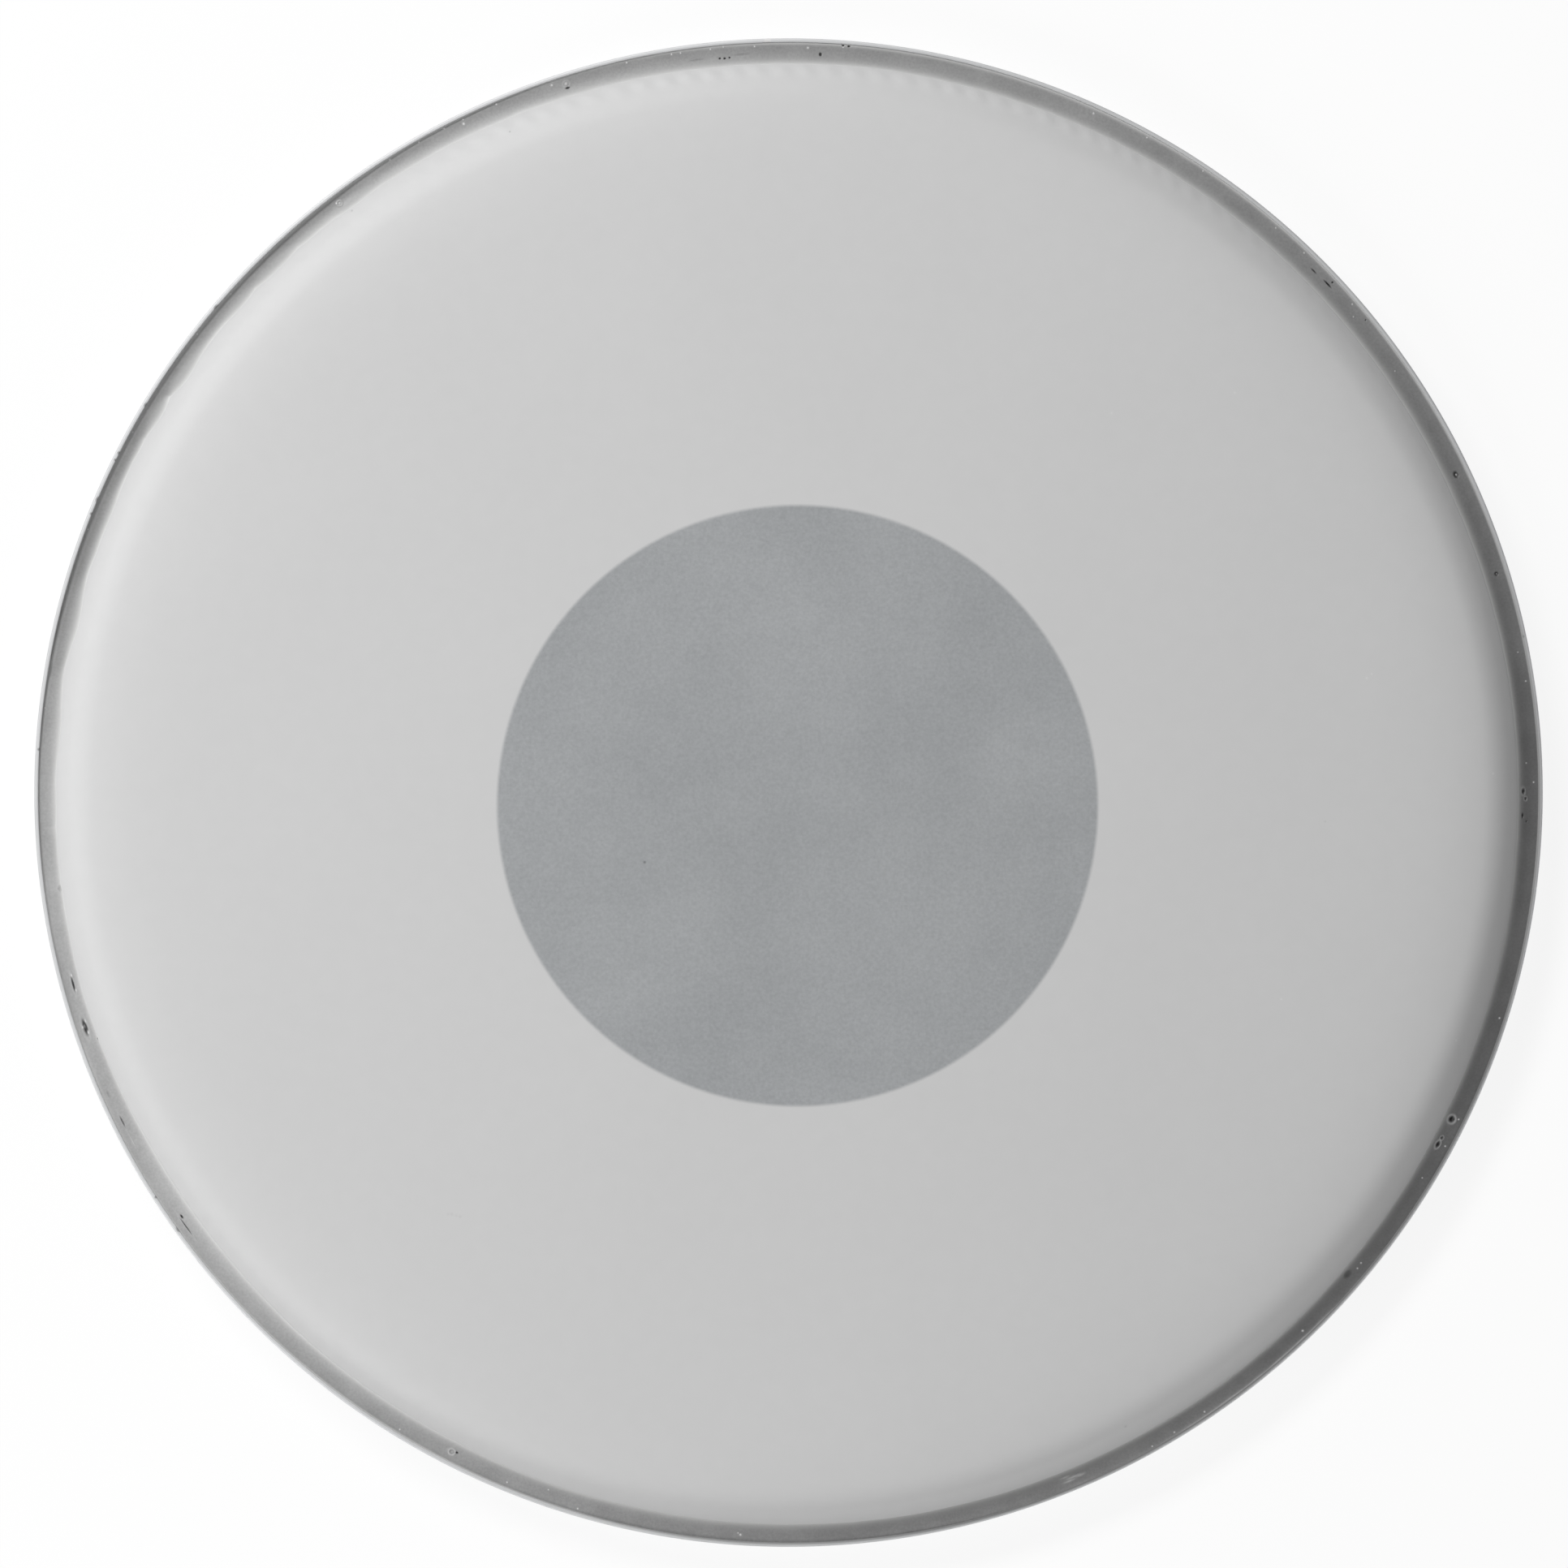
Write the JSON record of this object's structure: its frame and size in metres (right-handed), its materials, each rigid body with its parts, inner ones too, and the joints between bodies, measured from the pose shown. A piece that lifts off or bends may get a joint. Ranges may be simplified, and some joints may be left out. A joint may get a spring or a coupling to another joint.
{
  "type": "drum head",
  "caption": "Round coated drum head: a film with a formed collar cast with resin into an aluminium channel hoop, with a damping dot bonded under its middle.",
  "frame": {"origin": "centre of the hoop at the plane that its underside rests on", "axes": "+Z is the head's axis, from the hoop to the playing surface; +Y is the top of the head as the picture shows it, +X its right"},
  "size_m": [0.369, 0.3689, 0.0191],
  "materials": {
    "hoop_aluminium": "rolled, satin",
    "weld_aluminium": "ground flush, dull",
    "resin": "cast, glossy",
    "film": "milky polyester, satin",
    "coating": "sprayed, fine grit, matte",
    "adhesive": "clear, tacky",
    "dot_film": "black polyester, satin"
  },
  "bodies": {
    "root": {"hoop_channel": "hoop_aluminium", "hoop_weld": "weld_aluminium", "resin_fill": "resin", "head_film": "film", "top_coating": "coating", "dot_adhesive": "adhesive", "reverse_dot": "dot_film"}
  },
  "joints": []
}
